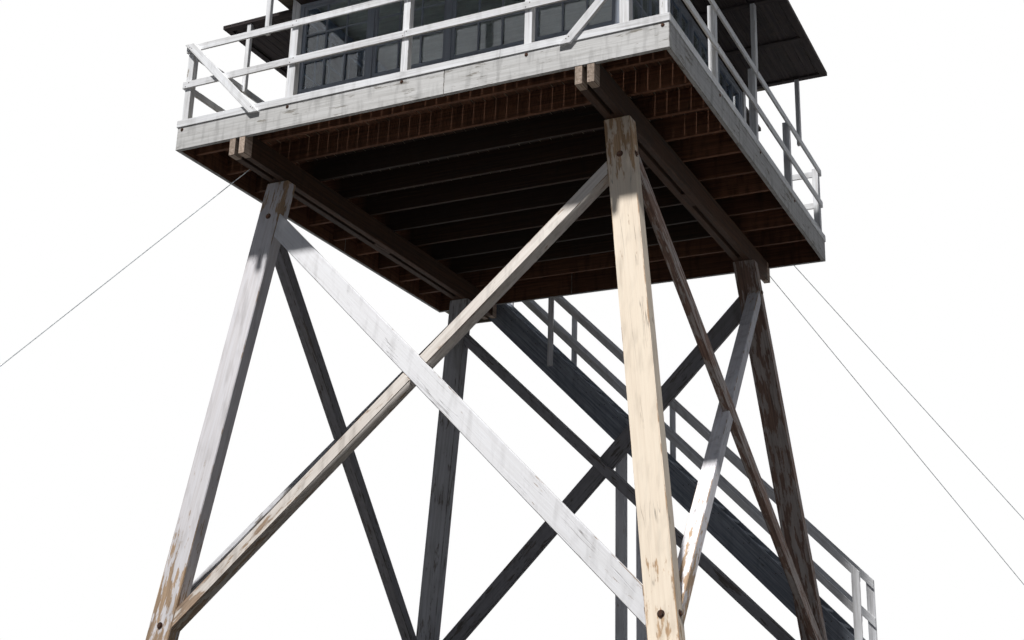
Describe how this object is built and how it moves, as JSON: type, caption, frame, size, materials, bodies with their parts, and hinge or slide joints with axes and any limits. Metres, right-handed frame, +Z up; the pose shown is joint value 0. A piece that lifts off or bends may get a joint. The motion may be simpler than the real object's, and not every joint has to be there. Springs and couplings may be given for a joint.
{
  "type": "fire lookout tower",
  "caption": "Timber fire lookout tower: glazed cab with propped shutters on a railed platform, splayed legs with crossed braces, an outside stair and wire guys.",
  "frame": {"origin": "on the ground, midway between the four legs", "axes": "+X to the right along the front, +Y from the front to the rear where the stair is, +Z up"},
  "size_m": [14.7, 12.1, 9.9107],
  "materials": {
    "weathered_wood": "weathered sawn timber with worn pale paint",
    "dark_wood": "dark stained timber",
    "white_painted_wood": "worn white paint",
    "slate_painted_wood": "dull slate paint",
    "concrete": "cast concrete",
    "galvanised_steel": "dull galvanised",
    "glass": "clear sheet"
  },
  "bodies": {
    "root": {"leg_front_left": "weathered_wood", "leg_front_right": "weathered_wood", "leg_rear_right": "weathered_wood", "leg_rear_left": "weathered_wood", "leg_footings": "concrete", "front_outer_brace": "weathered_wood", "front_inner_brace": "weathered_wood", "right_outer_brace": "weathered_wood", "right_inner_brace": "weathered_wood", "rear_outer_brace": "weathered_wood", "rear_inner_brace": "weathered_wood", "left_outer_brace": "weathered_wood", "left_inner_brace": "weathered_wood", "girders": "weathered_wood", "floor_joists": "dark_wood", "end_rims": "white_painted_wood", "side_rims": "white_painted_wood", "walkway_deck": "weathered_wood", "cab_floor": "weathered_wood", "front_wall": "slate_painted_wood", "right_wall": "slate_painted_wood", "rear_wall": "slate_painted_wood", "left_wall": "slate_painted_wood", "corner_posts": "white_painted_wood", "front_windows": "white_painted_wood", "right_windows": "white_painted_wood", "rear_windows": "white_painted_wood", "left_windows": "white_painted_wood", "window_glass": "glass", "door_frame": "white_painted_wood", "door": "slate_painted_wood", "ceiling": "white_painted_wood", "roof": "dark_wood", "shutters": "dark_wood", "shutter_props": "white_painted_wood", "front_railing": "white_painted_wood", "right_railing": "white_painted_wood", "rear_railing": "white_painted_wood", "left_railing": "white_painted_wood", "stair_landing": "weathered_wood", "landing_side_railing": "white_painted_wood", "landing_rear_railing": "white_painted_wood", "stair_stringers": "weathered_wood", "stair_treads": "weathered_wood", "stair_rails": "white_painted_wood", "stair_posts": "weathered_wood", "guy_wires": "galvanised_steel", "guy_anchors": "concrete"}
  },
  "joints": []
}
